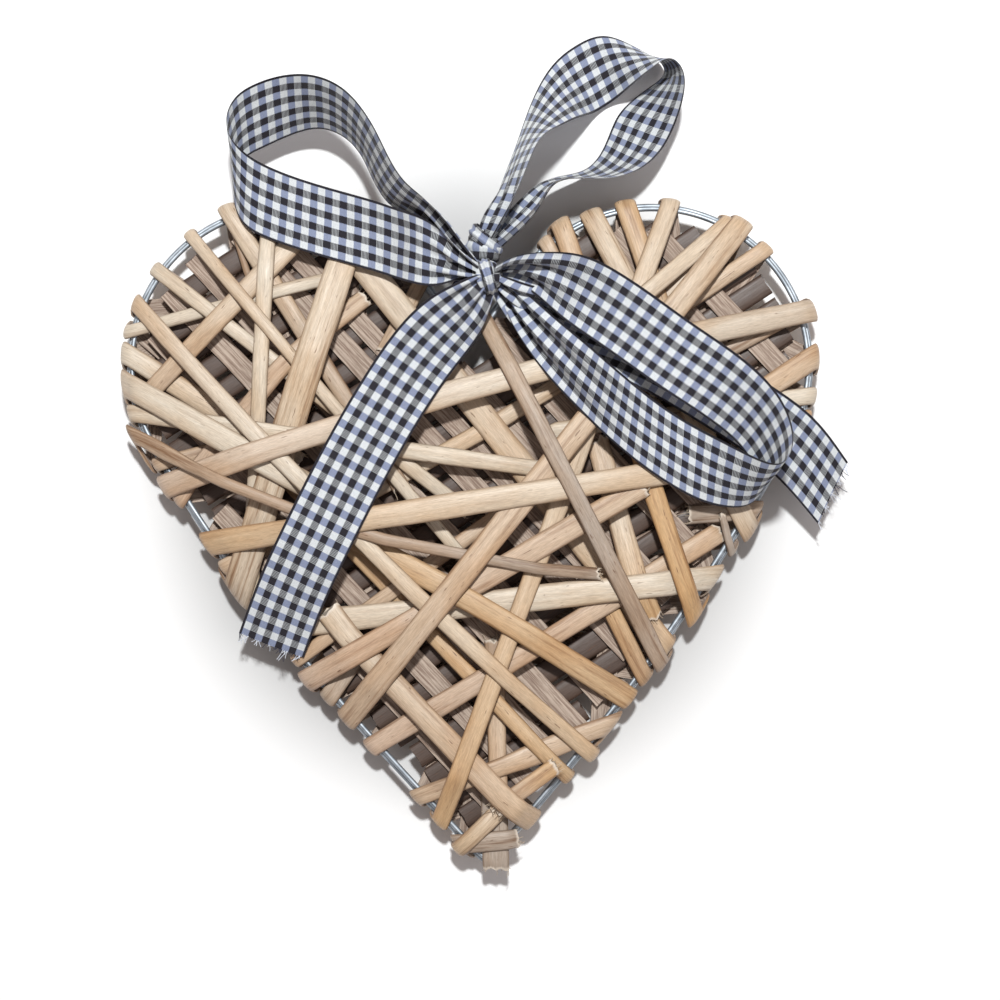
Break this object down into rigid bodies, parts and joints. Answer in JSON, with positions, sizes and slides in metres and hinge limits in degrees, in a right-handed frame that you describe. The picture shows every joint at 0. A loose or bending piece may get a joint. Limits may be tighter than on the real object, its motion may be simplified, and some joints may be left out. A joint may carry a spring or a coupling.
{
  "type": "woven willow heart ornament",
  "caption": "Flat heart ornament of split willow strips folded over a wire frame, with a gingham ribbon bow and hanging loop at the cleft.",
  "frame": {"origin": "centre of the bounding box in plan, at the lowest point of the back, where the ornament lies on a surface", "axes": "+Z out of the front of the heart, towards a viewer who looks down on it; +Y from the heart's tip towards its cleft and hanging loop; +X to the viewer's right"},
  "size_m": [0.2002, 0.232, 0.0428],
  "materials": {
    "galvanised_wire": "satin galvanised",
    "gingham_cotton": "woven navy and white gingham ribbon",
    "willow_cream": "peeled willow, cream, half-matt",
    "willow_tan": "peeled willow, tan, half-matt",
    "willow_golden": "peeled willow, golden, half-matt",
    "willow_brown": "split willow, grey-brown, fibrous"
  },
  "bodies": {
    "root": {"frame_wire_back": "galvanised_wire", "frame_wire_front": "galvanised_wire", "ribbon_bow": "gingham_cotton", "ribbon_hanging": "gingham_cotton", "strip_broad_upright": "willow_cream", "strip_centre_diagonal": "willow_cream", "strip_cleft_drop": "willow_golden", "strip_cleft_left_stub": "willow_tan", "strip_curved_run": "willow_brown", "strip_great_fall": "willow_brown", "strip_great_rise": "willow_cream", "strip_high_to_low": "willow_cream", "strip_left_brace": "willow_cream", "strip_left_broad": "willow_cream", "strip_left_fan_1": "willow_cream", "strip_left_fan_2": "willow_cream", "strip_left_fan_wide": "willow_cream", "strip_left_level": "willow_cream", "strip_left_low_rise": "willow_tan", "strip_left_low_stub": "willow_brown", "strip_left_return": "willow_brown", "strip_left_rise": "willow_golden", "strip_left_stub": "willow_tan", "strip_lobe_cross": "willow_tan", "strip_lobe_diagonal": "willow_tan", "strip_lobe_sliver": "willow_brown", "strip_lobe_upright": "willow_cream", "strip_long_fall": "willow_tan", "strip_long_rise": "willow_golden", "strip_low_crossing": "willow_cream", "strip_low_diagonal": "willow_cream", "strip_low_level": "willow_cream", "strip_low_right_run": "willow_golden", "strip_low_rise": "willow_tan", "strip_lower_upright": "willow_brown", "strip_mid_diagonal": "willow_golden", "strip_middle_level": "willow_cream", "strip_right_arm_high": "willow_tan", "strip_right_arm_low": "willow_tan", "strip_right_arm_wide": "willow_tan", "strip_right_edge_piece": "willow_golden", "strip_right_foot": "willow_brown", "strip_right_inner_drop": "willow_golden", "strip_right_lobe_arm": "willow_cream", "strip_right_lobe_drop": "willow_golden", "strip_right_lobe_long": "willow_cream", "strip_right_low_stub": "willow_brown", "strip_right_prop": "willow_tan", "strip_right_short": "willow_brown", "strip_right_sliver": "willow_brown", "strip_rounded_end": "willow_cream", "strip_tip_band": "willow_brown", "strip_tip_cross": "willow_brown", "strip_tip_end": "willow_brown", "strip_upper_level": "willow_tan"}
  },
  "joints": []
}
